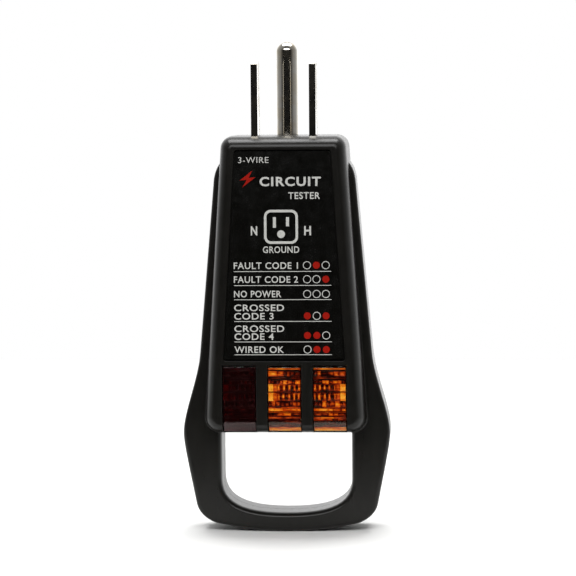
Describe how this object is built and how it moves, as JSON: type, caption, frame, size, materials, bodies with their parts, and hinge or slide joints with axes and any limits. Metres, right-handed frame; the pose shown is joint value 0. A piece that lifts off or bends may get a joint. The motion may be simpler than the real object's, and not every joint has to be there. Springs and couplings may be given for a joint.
{
  "type": "outlet tester plug",
  "caption": "Plug-in outlet tester: tapered black casing with flat blades and a round ground pin, a lamp legend, coloured lamp windows and a loop handle.",
  "frame": {"origin": "on the flat casing face that meets the outlet, midway between the two flat blades", "axes": "+Z along the prongs, out of the casing; -Y towards the reader of the legend; +X to the reader's right"},
  "size_m": [0.0458, 0.0251, 0.1084],
  "materials": {
    "abs_black": "satin moulded ABS, black",
    "label_print": "over-laminated black polyester label with white and red print",
    "lens_red": "transparent red polycarbonate, ribbed inside",
    "lens_amber": "transparent amber polycarbonate, ribbed inside",
    "prong_nickel": "bright nickel plating over brass",
    "carrier_nylon": "natural nylon",
    "reflector_white": "white reflective styrene",
    "board_green": "green solder mask on glass-epoxy board",
    "lamp_glass": "clear neon lamp envelope",
    "lead_tinned": "tinned lead wire",
    "resistor_tan": "tan lacquered resistor body with colour bands",
    "wire_black": "black PVC insulation",
    "wire_white": "white PVC insulation",
    "wire_green": "green PVC insulation",
    "screw_steel": "black zinc-plated pan head screw"
  },
  "bodies": {
    "root": {"front_shell": "abs_black", "rear_shell": "abs_black", "legend_label": "label_print", "lens_red": "lens_red", "lens_amber_middle": "lens_amber", "lens_amber_right": "lens_amber", "blade_hot": "prong_nickel", "blade_neutral": "prong_nickel", "ground_pin": "prong_nickel", "prong_carrier": "carrier_nylon", "lamp_reflector": "reflector_white", "circuit_board": "board_green", "lamp_glass_1": "lamp_glass", "lamp_glass_2": "lamp_glass", "lamp_glass_3": "lamp_glass", "lamp_lead_1a": "lead_tinned", "lamp_lead_1b": "lead_tinned", "lamp_lead_2a": "lead_tinned", "lamp_lead_2b": "lead_tinned", "lamp_lead_3a": "lead_tinned", "lamp_lead_3b": "lead_tinned", "resistor_1": "resistor_tan", "resistor_2": "resistor_tan", "resistor_3": "resistor_tan", "wire_hot": "wire_black", "wire_neutral": "wire_white", "wire_ground": "wire_green", "screw_upper_left": "screw_steel", "screw_upper_right": "screw_steel", "screw_lower_left": "screw_steel", "screw_lower_right": "screw_steel"}
  },
  "joints": []
}
